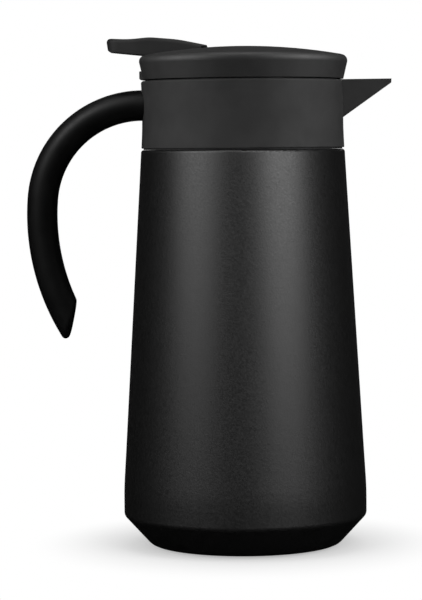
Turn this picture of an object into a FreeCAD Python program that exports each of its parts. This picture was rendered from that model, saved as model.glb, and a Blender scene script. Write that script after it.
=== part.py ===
import FreeCAD, Part
import Sketcher
import math
import os
from types import SimpleNamespace

# Thermal jug: axis on Z, spout on +X, handle on -X, underside of the foot pad at z = 0. All in mm.

doc = FreeCAD.newDocument("ThermalJug")
sheet = doc.addObject("Spreadsheet::Sheet", "Sizes")

SIZES = (
    ("shell_wall", 0.6, "steel thickness of the outer shell"),
    ("foot_height", 0.6, "shell foot above the table"),
    ("chamfer_width", 12.8, "belly to the edge of the foot, across the chamfer"),
    ("foot_round", 4.8, "round of the foot edge"),
    ("foot_rim_width", 8.7, "foot edge to the opening that the base plate closes"),
    ("foot_rim_stand", 0.2, "turned-up rim above the base plate"),
    ("belly_radius", 57.5, "widest radius of the shell"),
    ("chamfer_top", 14.6, "height of the top of the foot chamfer"),
    ("chamfer_round", 3.0, "round at the top of the chamfer"),
    ("taper_start", 27.0, "height where the taper begins"),
    ("taper_round", 150.0, "round between belly and taper"),
    ("shell_top_radius", 47.93, "shell radius under the collar"),
    ("shoulder_height", 187.0, "height of the shell shoulder"),
    ("shoulder_round", 1.3, "round of the shoulder edge"),
    ("shoulder_width", 6.93, "shell edge to neck across the shoulder"),
    ("neck_length", 14.4, "neck above the shoulder"),
    ("liner_wall", 0.6, "steel thickness of the liner"),
    ("liner_offset", 6.0, "shell outside to liner outside"),
    ("neck_vacuum", 0.6, "vacuum gap in the neck"),
    ("liner_floor", 9.0, "height of the liner floor"),
    ("liner_corner", 14.0, "inside round of the liner floor"),
    ("liner_shoulder_drop", 3.0, "liner widening below the shell shoulder"),
    ("liner_flare", 7.0, "height of that widening"),
    ("plate_wall", 0.6, "thickness of the base plate"),
    ("plate_boss_radius", 15.0, "raised middle of the base plate"),
    ("plate_boss_height", 1.0, "rise of that middle"),
    ("pad_thickness", 2.5, "foot pad thickness"),
    ("pad_margin", 2.0, "pad edge inside the foot opening"),
    ("getter_radius", 6.0, "getter pill radius"),
    ("getter_height", 2.0, "getter pill height"),
    ("collar_gap", 0.7, "seam between shoulder and collar"),
    ("seam_depth", 1.0, "depth of that seam, to the foot that the collar stands on"),
    ("collar_inset", 0.13, "collar edge inside the shell edge"),
    ("collar_waist", 0.5, "how far the collar draws in at half height"),
    ("collar_height", 31.6, "collar height"),
    ("collar_round", 1.0, "round of the collar top edge"),
    ("collar_foot_round", 0.4, "round of the collar bottom edge"),
    ("collar_wall", 2.5, "outer wall of the collar round its hollow"),
    ("collar_rim", 3.8, "collar edge to the bore that the stopper screws into"),
    ("ledge_thickness", 2.0, "ledge over the flask lip"),
    ("ledge_overhang", 0.7, "ledge inside the liner neck"),
    ("neck_ring_wall", 2.0, "inner ring of the collar round the neck"),
    ("seal_thickness", 1.0, "neck seal thickness"),
    ("seal_inset", 0.4, "neck seal outside the liner bore"),
    ("spout_length", 22.2, "spout tip beyond the collar"),
    ("spout_half_width", 12.6, "half width of the spout at its root"),
    ("spout_tip_half_width", 2.0, "half width of the spout tip"),
    ("spout_root_depth", 23.7, "depth of the spout V at its root, before its keel is rounded"),
    ("spout_tip_depth", 1.9, "depth of the spout V at its tip, before its keel is rounded"),
    ("spout_keel_round", 4.0, "round of the keel at the root"),
    ("spout_tip_round", 0.8, "round of the keel at the tip"),
    ("spout_wall", 2.2, "spout side wall at the root"),
    ("spout_tip_wall", 0.9, "spout wall at the tip"),
    ("spout_tip_rise", 0.4, "spout tip above the collar top"),
    ("spout_sink", 1.0, "spout root inside the collar wall"),
    ("channel_flare", 1.0, "extra half width of the channel at its start"),
    ("channel_sink", 2.8, "keel of the channel below the ledge at its start"),
    ("channel_tip_sink", 0.2, "keel of the channel below its wall at the tip"),
    ("handle_drop", 11.33, "handle centre line below the collar top"),
    ("handle_sink", 3.0, "start of the handle inside the collar edge"),
    ("handle_lead", 0.4, "straight end of the handle inside the collar edge"),
    ("handle_upper_arc", 47.4, "radius of the upper bend"),
    ("handle_upper_turn", 85.25, "sweep of the upper bend in degrees"),
    ("handle_lower_arc", 102.18, "radius of the lower bend"),
    ("handle_lower_turn", 42.0, "sweep of the lower bend before its end is cut"),
    ("handle_thickness", 14.36, "handle thickness in the side view"),
    ("handle_width", 23.0, "handle width across"),
    ("handle_crown", 20.0, "radius of the broad faces of the handle"),
    ("handle_end_gap", 31.4, "collar to the inner corner of the cut end"),
    ("handle_end_drop", 91.27, "handle centre line down to that corner"),
    ("handle_end_lean", 11.3, "lean of the cut end off upright in degrees"),
    ("handle_end_round", 2.0, "round of the cut end"),
    ("handle_screw_spread", 5.5, "handle screws off the middle plane"),
    ("handle_screw_rise", 1.6, "handle screws above the centre line"),
    ("screw_shank", 1.6, "handle screw shank radius"),
    ("screw_head", 2.9, "handle screw head radius"),
    ("screw_head_height", 2.0, "handle screw head height"),
    ("screw_length", 12.0, "handle screw under the head"),
    ("screw_head_sink", 1.6, "handle screw seat behind the collar bore"),
    ("lid_gap", 0.6, "gap between collar rim and lid"),
    ("plug_clearance", 0.5, "stopper plug to the ledge"),
    ("plug_depth", 29.9, "stopper below its flange"),
    ("plug_wall", 2.0, "stopper wall"),
    ("thread_clearance", 0.8, "threaded part of the stopper to the collar bore"),
    ("gasket_thickness", 1.9, "stopper gasket thickness"),
    ("gasket_width", 3.4, "stopper gasket width"),
    ("gasket_round", 0.5, "round of the gasket edge"),
    ("gasket_chamfer", 0.4, "chamfer of the gasket's inner edge"),
    ("flange_overlap", 1.2, "stopper flange over the collar rim"),
    ("flange_thickness", 2.0, "flange thickness"),
    ("tab_reach", 0.7, "rear tab beyond the collar"),
    ("tab_side_gap", 1.9, "rear tab to the sides of the slot"),
    ("tab_height", 3.9, "rear tab height"),
    ("tab_round", 1.0, "round of the tab foot"),
    ("port_half_width", 11.0, "pouring port half width"),
    ("port_height", 7.6, "pouring port height"),
    ("port_round", 1.5, "round of the port corners"),
    ("port_sill", 0.3, "port above the floor of the threaded part"),
    ("valve_hole", 13.0, "pouring hole in the stopper floor"),
    ("seat_lip", 2.0, "width of the raised valve seat"),
    ("seat_height", 1.0, "height of the raised valve seat"),
    ("deck_thickness", 2.0, "deck thickness"),
    ("deck_drop", 2.4, "deck top below the flange top"),
    ("deck_seal_depth", 0.9, "deck seal width"),
    ("deck_seal_height", 1.0, "deck seal height"),
    ("deck_seal_round", 0.3, "round of the deck seal"),
    ("boss_inset", 2.9, "screw boss centres inside the threaded wall"),
    ("boss_radius", 2.7, "screw boss radius"),
    ("boss_sink", 0.5, "screw bosses sunk into the floor"),
    ("lid_screw_shank", 1.2, "lid screw shank radius"),
    ("lid_screw_head", 2.3, "lid screw head radius"),
    ("lid_screw_head_height", 1.5, "lid screw head height"),
    ("lid_screw_length", 7.0, "lid screw under the head"),
    ("guide_wall", 1.5, "stem guide round the stem seal"),
    ("guide_drop", 6.5, "stem guide below the deck"),
    ("guide_rise", 1.5, "stem guide above the deck"),
    ("stem_radius", 2.5, "valve stem radius"),
    ("stem_seal_width", 1.5, "stem seal round the stem"),
    ("stem_seal_round", 0.4, "round of the stem seal's lip"),
    ("stem_flange", 2.0, "foot of the stem beyond the stem"),
    ("stem_flange_height", 1.5, "height of that foot"),
    ("stem_rise", 5.0, "stem shoulder above the deck"),
    ("spigot_step", 0.9, "stem to the spigot that takes the stem cap"),
    ("spigot_length", 1.6, "spigot length"),
    ("cap_flange", 3.0, "stem cap beyond the stem"),
    ("cap_height", 2.5, "stem cap height"),
    ("cap_round", 0.8, "round of the stem cap"),
    ("disc_overlap", 3.0, "valve disc beyond the pouring hole"),
    ("disc_thickness", 2.0, "valve disc thickness"),
    ("disc_round", 0.5, "round of the disc edge"),
    ("valve_seal_thickness", 2.0, "valve seal thickness"),
    ("seal_lap", 2.5, "valve seal inside the pouring hole"),
    ("valve_seal_overhang", 0.6, "valve seal beyond the disc"),
    ("valve_seal_round", 0.5, "round of the valve seal edge"),
    ("valve_screw_shank", 1.4, "valve screw shank radius"),
    ("valve_screw_head", 3.0, "valve screw head radius"),
    ("valve_screw_head_height", 1.6, "valve screw head height"),
    ("valve_screw_length", 7.0, "valve screw under the head"),
    ("valve_screw_round", 0.6, "round of the valve screw head"),
    ("spring_clearance", 1.1, "valve spring wire to the stem guide"),
    ("spring_wire", 0.6, "valve spring wire radius"),
    ("spring_turns", 5.0, "valve spring turns"),
    ("lid_flare", 2.5, "lid corner beyond its foot, before rounding"),
    ("skirt_inset", 0.3, "lid foot inside the collar edge"),
    ("lid_skirt_height", 10.7, "lid foot to lid corner"),
    ("lid_edge_round", 3.0, "round of the lid edge"),
    ("dome_rise", 4.8, "rise of the dome"),
    ("lid_wall", 2.1, "lid wall"),
    ("lid_corner_wall", 2.415, "lid wall across its corner"),
    ("lever_half_width", 10.4, "half width of the lever"),
    ("slot_front", 18.7, "axis to the front of the lever slot"),
    ("slot_round", 1.0, "round of the slot corners"),
    ("lever_gap", 0.5, "lever side to slot side"),
    ("lever_overhang", 13.7, "rear end of the lever beyond the lid"),
    ("lever_front", 16.5, "axis to the front end of the lever"),
    ("lever_rise", 3.9, "rear end of the lever above the dome"),
    ("lever_rear_depth", 6.2, "depth of the rear end"),
    ("lever_rear_lean", 1.0, "how far the rear end leans in at its foot"),
    ("lever_rear_round", 1.2, "round of that foot"),
    ("lever_dip", 0.65, "thumb dip below the rear end"),
    ("lever_dip_inset", 10.2, "rear end to the thumb dip"),
    ("lever_hump", 0.4, "hump above the rear end"),
    ("lever_hump_inset", 20.2, "rear end to the hump"),
    ("lever_hump_bend", 30.0, "radius over the hump"),
    ("lever_soft_bend", 60.0, "radius of the dip and of the fall to the front"),
    ("lever_brow_drop", 0.75, "middle of that fall below the rear end"),
    ("lever_front_step", 0.9, "front end above the dome"),
    ("lever_front_gap", 0.3, "underside of the front end above the dome"),
    ("lever_under_rise", 0.9, "underside of the blade above the lid corner"),
    ("lever_skirt_rise", 1.2, "front of the underside above the rest"),
    ("lever_belly_inset", 4.0, "lowest point of the underside behind the pin"),
    ("lever_belly_drop", 0.3, "that point below the rest"),
    ("lever_heel_inset", 3.0, "heel of the underside inside the lid edge"),
    ("lever_edge_round", 1.8, "round of the top edge"),
    ("lever_corner", 6.0, "plan round of the rear corners"),
    ("lever_wall", 2.0, "lever walls round its hollow"),
    ("hollow_inset", 5.0, "hollow of the lever inside the lid edge"),
    ("hollow_brow", 4.0, "flat roof of the hollow in front of the pin"),
    ("pin_setback", 5.2, "lever pin inside the threaded wall of the stopper"),
    ("pin_drop", 6.9, "lever pin below the dome top"),
    ("pin_radius", 1.5, "lever pin radius"),
    ("post_side_gap", 0.3, "lever posts to the walls of the lever"),
    ("post_thickness", 2.5, "lever post thickness"),
    ("post_round", 3.2, "half width of the post tops"),
    ("post_top_round", 2.56, "round of the post tops"),
    ("post_flare", 1.3, "post foot beyond its top, in front"),
    ("post_sink", 0.5, "post feet sunk into the deck"),
    ("hub_gap", 0.6, "lever hub to its posts"),
    ("hub_wall", 2.7, "lever hub round the pin"),
    ("hub_sink", 0.5, "hub sunk into the roof of the hollow"),
    ("hub_round", 3.0, "round of the hub"),
    ("hub_keel_inset", 1.5, "lowest point of the hub in front of the pin"),
    ("hub_keel_drop", 0.6, "that point below the hub"),
    ("hub_brow", 2.0, "front of the hub above the pin"),
    ("arm_thickness", 2.2, "fork thickness"),
    ("arm_play", 0.5, "fork to stem cap"),
    ("arm_tip", 2.0, "fork tip beyond the axis"),
    ("arm_start", 8.0, "pin to the straight underside of the fork"),
    ("arm_neck", 1.0, "straight top of the fork beyond that"),
    ("arm_slope", 0.6, "rise of the fork's top towards the hub"),
    ("arm_bend", 6.0, "round under the fork's root"),
    ("fork_back", 1.0, "fork slot behind the stem's clearance"),
    ("fork_round", 1.5, "round of the fork slot"),
    ("fork_clearance", 0.6, "fork slot round the stem"),
    ("running_clearance", 0.05, "radial clearance of pins and stems"),
    ("fit_clearance", 0.1, "clearance between fixed pieces"),
    ("overrun", 1.0, "how far a cut runs past the faces that it opens"),
)

LID_SCREWS = 4


class Size:
    """A length: its present value and the sheet expression that drives it."""

    def __init__(self, value, text):
        self.value = value
        self.text = text

    def __add__(self, other):
        return joined(self, "+", other, self.value + size_of(other).value)

    def __radd__(self, other):
        return size_of(other) + self

    def __sub__(self, other):
        return joined(self, "-", other, self.value - size_of(other).value)

    def __rsub__(self, other):
        return size_of(other) - self

    def __mul__(self, other):
        return joined(self, "*", other, self.value * size_of(other).value)

    def __rmul__(self, other):
        return size_of(other) * self

    def __truediv__(self, other):
        return joined(self, "/", other, self.value / size_of(other).value)

    def __neg__(self):
        return size_of(0) - self


def size_of(number):
    if isinstance(number, Size):
        return number
    return Size(float(number), repr(float(number)))


def joined(first, sign, second, value):
    return Size(value, "(" + first.text + " " + sign + " " + size_of(second).text + ")")


def root(size):
    return Size(math.sqrt(size.value), "sqrt(" + size.text + ")")


def sine(angle):
    return Size(math.sin(math.radians(angle.value)), "sin(" + angle.text + ")")


def cosine(angle):
    return Size(math.cos(math.radians(angle.value)), "cos(" + angle.text + ")")


def dome_radius(reach, rise):
    """Radius of the arc that starts level on the axis and falls by rise at reach."""
    return (reach * reach + rise * rise) / (2 * rise)


d = SimpleNamespace()
for row, (alias, number, meaning) in enumerate(SIZES, start=1):
    sheet.set("A%d" % row, meaning)
    sheet.set("B%d" % row, str(number))
    sheet.setAlias("B%d" % row, alias)
    setattr(d, alias, Size(number, "Sizes." + alias))
doc.recompute()


def new_body(label):
    body = doc.addObject("PartDesign::Body", label)
    body.Label = label
    return body


def new_sketch(body, label, plane, shift=None):
    sketch = body.newObject("Sketcher::SketchObject", label)
    base = [item for item in body.Origin.OriginFeatures if item.Role == plane][0]
    sketch.AttachmentSupport = (base, "")
    sketch.MapMode = "FlatFace"
    if shift is not None:
        raised = FreeCAD.Vector(0, 0, shift.value)
        sketch.AttachmentOffset = FreeCAD.Placement(raised, FreeCAD.Rotation())
        sketch.setExpression("AttachmentOffset.Base.z", shift.text)
    return sketch


def pin_point(sketch, item, spot, x, y):
    """Ties one point of the sketch to its sheet coordinates; y may be left open."""
    ties = [("DistanceX", -2, size_of(x))]
    if y is not None:
        ties.append(("DistanceY", -1, size_of(y)))
    for kind, axis, size in ties:
        if size.value == 0:
            sketch.addConstraint(Sketcher.Constraint("PointOnObject", item, spot, axis))
        else:
            number = sketch.addConstraint(Sketcher.Constraint(kind, -1, 1, item, spot, size.value))
            sketch.setExpression("Constraints[%d]" % number, size.text)


def set_radius(sketch, item, radius):
    number = sketch.addConstraint(Sketcher.Constraint("Radius", item, radius.value))
    sketch.setExpression("Constraints[%d]" % number, radius.text)


def add_arc(sketch, start, end, centre, left):
    """Adds an arc from start to end and returns it with the spot names of both ends."""
    radius = (start - centre).Length
    first = math.atan2(start.y - centre.y, start.x - centre.x)
    last = math.atan2(end.y - centre.y, end.x - centre.x)
    spots = (1, 2)
    if not left:
        first, last = last, first
        spots = (2, 1)
    if last < first:
        last = last + 2 * math.pi
    circle = Part.Circle(centre, FreeCAD.Vector(0, 0, 1), radius)
    item = sketch.addGeometry(Part.ArcOfCircle(circle, first, last), False)
    return item, spots


def heading(start, end, c, at_end):
    """Direction of travel where an edge leaves start or reaches end."""
    chord = end - start
    if c.arc is None:
        return FreeCAD.Vector(chord).normalize()
    half_angle = math.asin(chord.Length / 2 / c.arc.value)
    swing = half_angle if c.left == at_end else -half_angle
    return FreeCAD.Rotation(FreeCAD.Vector(0, 0, 1), math.degrees(swing)).multVec(chord).normalize()


def corner(x, y, rounding=None, arc=None, left=True):
    """One corner of an outline; arc is the radius of the edge that leaves it, if it is bent."""
    if rounding is not None:
        rounding = size_of(rounding)
    return SimpleNamespace(x=size_of(x), y=size_of(y), rounding=rounding, arc=arc, left=left)


def outline(body, label, corners, plane="XZ_Plane", shift=None):
    """Closed sketch through the corners, with tangent rounds where a corner asks for one."""
    sketch = new_sketch(body, label, plane, shift)
    count = len(corners)
    points = [FreeCAD.Vector(c.x.value, c.y.value, 0) for c in corners]
    entry = list(points)
    leave = list(points)
    rounds = {}
    for i, c in enumerate(corners):
        if c.rounding is None:
            continue
        before = heading(points[i - 1], points[i], corners[i - 1], True)
        after = heading(points[i], points[(i + 1) % count], c, False)
        turn = math.acos(max(-1.0, min(1.0, before.dot(after))))
        tangent = c.rounding.value * math.tan(turn / 2)
        entry[i] = points[i] - before * tangent
        leave[i] = points[i] + after * tangent
        left = before.x * after.y - before.y * after.x > 0
        side = FreeCAD.Vector(-before.y, before.x, 0)
        centre = entry[i] + side * (c.rounding.value if left else -c.rounding.value)
        rounds[i] = add_arc(sketch, entry[i], leave[i], centre, left)
    edges = []
    for i, c in enumerate(corners):
        start = leave[i]
        end = entry[(i + 1) % count]
        if c.arc is None:
            item = sketch.addGeometry(Part.LineSegment(start, end), False)
            edges.append((item, (1, 2)))
        else:
            chord = end - start
            half = chord.Length / 2
            depth = math.sqrt(c.arc.value ** 2 - half ** 2)
            side = FreeCAD.Vector(-chord.y, chord.x, 0).normalize()
            centre = (start + end) * 0.5 + side * (depth if c.left else -depth)
            item, spots = add_arc(sketch, start, end, centre, c.left)
            set_radius(sketch, item, c.arc)
            edges.append((item, spots))
    for i, c in enumerate(corners):
        last, last_spots = edges[i - 1]
        following, next_spots = edges[i]
        if i in rounds:
            item, spots = rounds[i]
            sketch.addConstraint(Sketcher.Constraint("Tangent", last, last_spots[1], item, spots[0]))
            sketch.addConstraint(Sketcher.Constraint("Tangent", item, spots[1], following, next_spots[0]))
            set_radius(sketch, item, c.rounding)
            mark = sketch.addGeometry(Part.Point(points[i]), True)
            sketch.addConstraint(Sketcher.Constraint("PointOnObject", mark, 1, last))
            sketch.addConstraint(Sketcher.Constraint("PointOnObject", mark, 1, following))
            pin_point(sketch, mark, 1, c.x, c.y)
        else:
            meeting = Sketcher.Constraint("Coincident", last, last_spots[1], following, next_spots[0])
            sketch.addConstraint(meeting)
            pin_point(sketch, following, next_spots[0], c.x, c.y)
    return sketch


def circles(body, label, centres, radius, plane="XY_Plane", shift=None):
    sketch = new_sketch(body, label, plane, shift)
    for x, y in centres:
        middle = FreeCAD.Vector(size_of(x).value, size_of(y).value, 0)
        ring = Part.Circle(middle, FreeCAD.Vector(0, 0, 1), radius.value)
        item = sketch.addGeometry(ring, False)
        pin_point(sketch, item, 3, x, y)
        set_radius(sketch, item, radius)
    return sketch


def revolve(body, sketch, label):
    turned = body.newObject("PartDesign::Revolution", label)
    turned.Profile = sketch
    turned.ReferenceAxis = (sketch, ["V_Axis"])
    turned.Angle = 360
    doc.recompute()
    return turned


def groove(body, sketch, label):
    before = body.Shape.Volume
    cut = body.newObject("PartDesign::Groove", label)
    cut.Profile = sketch
    cut.ReferenceAxis = (sketch, ["V_Axis"])
    cut.Angle = 360
    doc.recompute()
    check_cut(body, before, label)
    return cut


def pad(body, sketch, length, label, symmetric=False, reverse=False):
    raised = body.newObject("PartDesign::Pad", label)
    raised.Profile = sketch
    raised.setExpression("Length", size_of(length).text)
    raised.SideType = "Symmetric" if symmetric else "One side"
    raised.Reversed = reverse
    doc.recompute()
    return raised


def pocket(body, sketch, length, label, symmetric=False, reverse=False):
    before = body.Shape.Volume
    cut = body.newObject("PartDesign::Pocket", label)
    cut.Profile = sketch
    cut.setExpression("Length", size_of(length).text)
    cut.SideType = "Symmetric" if symmetric else "One side"
    cut.Reversed = reverse
    doc.recompute()
    check_cut(body, before, label)
    return cut


def check_cut(body, before, label):
    if body.Shape.Volume > before - 0.01:
        raise RuntimeError(label + " takes nothing away")


def fillet(body, radius, chosen, label):
    base = body.Tip
    names = ["Edge%d" % i for i, edge in enumerate(base.Shape.Edges, start=1) if chosen(edge)]
    if not names:
        raise RuntimeError(label + " finds no edge")
    rounded = body.newObject("PartDesign::Fillet", label)
    rounded.Base = (base, names)
    rounded.setExpression("Radius", radius.text)
    doc.recompute()
    return rounded


def around(body, features, count, label):
    pattern = body.newObject("PartDesign::PolarPattern", label)
    pattern.Originals = features
    axis = [item for item in body.Origin.OriginFeatures if item.Role == "Z_Axis"][0]
    pattern.Axis = (axis, [""])
    pattern.Angle = 360
    pattern.Occurrences = count
    body.Tip = pattern
    doc.recompute()
    return pattern


# Radii and reaches shared by the pieces

foot_radius = d.belly_radius - d.chamfer_width
foot_rim_radius = foot_radius - d.foot_rim_width
neck_radius = d.shell_top_radius - d.shoulder_width
liner_neck_radius = neck_radius - d.shell_wall - d.neck_vacuum - d.liner_wall
collar_radius = d.shell_top_radius - d.collar_inset
collar_bore = collar_radius - d.collar_rim
ledge_bore = liner_neck_radius - d.ledge_overhang
spout_reach = collar_radius + d.spout_length
plug_radius = ledge_bore - d.plug_clearance
plug_bore = plug_radius - d.plug_wall
cup_radius = collar_bore - d.thread_clearance
cup_bore = cup_radius - d.plug_wall
flange_radius = collar_bore + d.flange_overlap
lid_skirt_radius = collar_radius - d.skirt_inset
lid_radius = lid_skirt_radius + d.lid_flare
tab_radius = collar_radius + d.tab_reach
boss_circle = cup_bore - d.boss_inset
pin_inset = cup_bore - d.pin_setback
stem_seal_radius = d.stem_radius + d.stem_seal_width
guide_radius = stem_seal_radius + d.guide_wall
stem_flange_radius = d.stem_radius + d.stem_flange
spigot_radius = d.stem_radius - d.spigot_step
cap_radius = d.stem_radius + d.cap_flange
spring_radius = guide_radius + d.spring_clearance + d.spring_wire
disc_radius = d.valve_hole + d.disc_overlap
valve_seal_inner = d.valve_hole - d.seal_lap
slot_half_width = d.lever_half_width + d.lever_gap
tab_half_width = slot_half_width - d.tab_side_gap
lever_rear = lid_radius + d.lever_overhang
post_outer = d.lever_half_width - d.lever_wall - d.post_side_gap
post_inner = post_outer - d.post_thickness
hub_half_width = post_inner - d.hub_gap


# Levels shared by the pieces

neck_top = d.shoulder_height + d.neck_length
lip_top = neck_top + d.liner_wall
ledge_under = lip_top + d.seal_thickness
ledge_top = ledge_under + d.ledge_thickness
collar_bottom = d.shoulder_height + d.collar_gap
collar_top = collar_bottom + d.collar_height
lid_foot = collar_top + d.lid_gap
flange_top = lid_foot + d.flange_thickness
plug_bottom = lid_foot - d.plug_depth
plug_floor = plug_bottom + d.plug_wall
seat_top = plug_floor + d.seat_height
gasket_top = ledge_top + d.fit_clearance + d.gasket_thickness
cup_floor = gasket_top + d.plug_wall
deck_top = flange_top - d.deck_drop
deck_under = deck_top - d.deck_thickness
seal_bottom = seat_top + d.running_clearance
disc_bottom = seal_bottom + d.valve_seal_thickness
disc_top = disc_bottom + d.disc_thickness
stem_top = deck_top + d.stem_rise
lid_corner_height = lid_foot + d.lid_skirt_height
dome_top = lid_corner_height + d.dome_rise
pin_height = dome_top - d.pin_drop
lever_top = dome_top + d.lever_rise
liner_shoulder = d.shoulder_height - d.liner_shoulder_drop
handle_height = collar_top - d.handle_drop
handle_end_inset = collar_radius + d.handle_end_gap
handle_end_height = handle_height - d.handle_end_drop


# Outer shell: taper, chamfered foot with a turned-up rim, and a neck that runs up inside the collar

chamfer_run = d.belly_radius - foot_radius
chamfer_rise = d.chamfer_top - d.foot_height
chamfer_length = root(chamfer_run * chamfer_run + chamfer_rise * chamfer_rise)
chamfer_shift = d.shell_wall * chamfer_length / chamfer_rise
inner_foot_radius = foot_radius - chamfer_shift + d.shell_wall * chamfer_run / chamfer_rise
inner_chamfer_run = d.belly_radius - d.shell_wall - foot_radius + chamfer_shift
inner_chamfer_rise = inner_chamfer_run * chamfer_rise / chamfer_run
rim_top = d.pad_thickness + d.plate_wall + d.foot_rim_stand

inner_belly = d.belly_radius - d.shell_wall
inner_top = d.shell_top_radius - d.shell_wall
inner_shoulder = d.shoulder_height - d.shell_wall

outer_shell = new_body("outer_shell")
shell_profile = outline(outer_shell, "shell_profile", [
    corner(neck_radius, neck_top),
    corner(neck_radius, d.shoulder_height),
    corner(d.shell_top_radius, d.shoulder_height, d.shoulder_round),
    corner(d.belly_radius, d.taper_start, d.taper_round),
    corner(d.belly_radius, d.chamfer_top, d.chamfer_round),
    corner(foot_radius, d.foot_height, d.foot_round),
    corner(foot_rim_radius, d.foot_height),
    corner(foot_rim_radius, rim_top),
    corner(foot_rim_radius + d.shell_wall, rim_top),
    corner(foot_rim_radius + d.shell_wall, d.foot_height + d.shell_wall),
    corner(inner_foot_radius, d.foot_height + d.shell_wall, d.foot_round - d.shell_wall),
    corner(inner_belly, d.foot_height + inner_chamfer_rise, d.chamfer_round - d.shell_wall),
    corner(inner_belly, d.taper_start, d.taper_round - d.shell_wall),
    corner(inner_top, inner_shoulder, d.shoulder_round - d.shell_wall),
    corner(neck_radius - d.shell_wall, inner_shoulder),
    corner(neck_radius - d.shell_wall, neck_top),
])
revolve(outer_shell, shell_profile, "shell_turned")


# Base plate, foot pad and getter

base_plate = new_body("base_plate")
plate_under = d.pad_thickness
plate_top = plate_under + d.plate_wall
plate_radius = foot_rim_radius - d.running_clearance
boss_slope = d.plate_boss_radius + 2 * d.plate_boss_height
plate_profile = outline(base_plate, "plate_profile", [
    corner(0, plate_under + d.plate_boss_height),
    corner(d.plate_boss_radius, plate_under + d.plate_boss_height),
    corner(boss_slope, plate_under),
    corner(plate_radius, plate_under),
    corner(plate_radius, plate_top),
    corner(boss_slope, plate_top),
    corner(d.plate_boss_radius, plate_top + d.plate_boss_height),
    corner(0, plate_top + d.plate_boss_height),
])
revolve(base_plate, plate_profile, "plate_turned")

foot_pad = new_body("foot_pad")
pad_radius = foot_rim_radius - d.pad_margin
pad_profile = outline(foot_pad, "pad_profile", [
    corner(0, 0),
    corner(pad_radius, 0, d.foot_height),
    corner(pad_radius, d.pad_thickness),
    corner(0, d.pad_thickness),
])
revolve(foot_pad, pad_profile, "pad_turned")

getter = new_body("getter")
getter_profile = circles(getter, "getter_profile", [(0, 0)], d.getter_radius)
pad(getter, getter_profile, d.getter_height, "getter_raised")
getter.setExpression("Placement.Base.z", (plate_top + d.plate_boss_height).text)


# Inner liner: joined to the shell only at its lip, follows the taper below

inner_liner = new_body("inner_liner")
taper_fall = (d.belly_radius - d.shell_top_radius) / (d.shoulder_height - d.taper_start)
liner_low = d.belly_radius - d.liner_offset - d.liner_wall
flare_bottom = liner_shoulder - d.liner_flare
liner_high = liner_low - taper_fall * (flare_bottom - d.taper_start)
flare_round = d.liner_flare * 0.6
liner_profile = outline(inner_liner, "liner_profile", [
    corner(liner_neck_radius, lip_top),
    corner(liner_neck_radius, liner_shoulder, flare_round),
    corner(liner_high, flare_bottom, flare_round),
    corner(liner_low, d.taper_start),
    corner(liner_low, d.liner_floor, d.liner_corner),
    corner(0, d.liner_floor),
    corner(0, d.liner_floor - d.liner_wall),
    corner(liner_low + d.liner_wall, d.liner_floor - d.liner_wall, d.liner_corner + d.liner_wall),
    corner(liner_low + d.liner_wall, d.taper_start),
    corner(liner_high + d.liner_wall, flare_bottom, flare_round),
    corner(liner_neck_radius + d.liner_wall, liner_shoulder, flare_round),
    corner(liner_neck_radius + d.liner_wall, neck_top),
    corner(neck_radius, neck_top),
    corner(neck_radius, lip_top),
])
revolve(inner_liner, liner_profile, "liner_turned")


# Collar: waisted ring on a set-back foot, hollow from below, with a ledge over the lip and a beak spout

collar = new_body("collar")
half_height = d.collar_height / 2
waist_arc = (half_height * half_height + d.collar_waist * d.collar_waist) / (2 * d.collar_waist)
neck_ring_bore = neck_radius + 3 * d.fit_clearance
hollow_inner = neck_ring_bore + d.neck_ring_wall
hollow_outer = collar_radius - d.collar_waist - d.collar_wall
collar_foot = d.shoulder_height + d.fit_clearance
collar_foot_radius = collar_radius - d.seam_depth
collar_profile = outline(collar, "collar_profile", [
    corner(collar_radius, collar_bottom, d.collar_foot_round, arc=waist_arc, left=False),
    corner(collar_radius, collar_top),
    corner(collar_bore, collar_top),
    corner(collar_bore, ledge_top),
    corner(ledge_bore, ledge_top),
    corner(ledge_bore, ledge_under),
    corner(neck_ring_bore, ledge_under),
    corner(neck_ring_bore, collar_bottom),
    corner(hollow_inner, collar_bottom),
    corner(hollow_inner, ledge_under - d.ledge_thickness),
    corner(hollow_outer, ledge_under - d.ledge_thickness),
    corner(hollow_outer, collar_foot),
    corner(collar_foot_radius, collar_foot),
    corner(collar_foot_radius, collar_bottom),
])
revolve(collar, collar_profile, "collar_turned")


def is_ring(edge, radius, height):
    box = edge.BoundBox
    flat = box.ZLength < 0.01 and abs(box.ZMin - height.value) < 0.01
    return flat and abs(box.XMax - radius.value) < 0.05 and abs(box.XMin + radius.value) < 0.05


fillet(collar, d.collar_round, lambda edge: is_ring(edge, collar_radius, collar_top), "collar_edge")


def beak(label, x, half_width, keel, rounding):
    """Upright section of the spout's channel: a rounded V under upright sides that clear the rim."""
    top = collar_top + 2 * d.overrun
    return outline(collar, label, [
        corner(-half_width, top),
        corner(-half_width, collar_top),
        corner(0, keel, rounding),
        corner(half_width, collar_top),
        corner(half_width, top),
    ], plane="YZ_Plane", shift=x)


def loft(kind, label, first, second):
    before = collar.Shape.Volume
    skin = collar.newObject(kind, label)
    skin.Profile = first
    skin.Sections = [second]
    skin.Ruled = True
    doc.recompute()
    return collar.Shape.Volume - before


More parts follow.
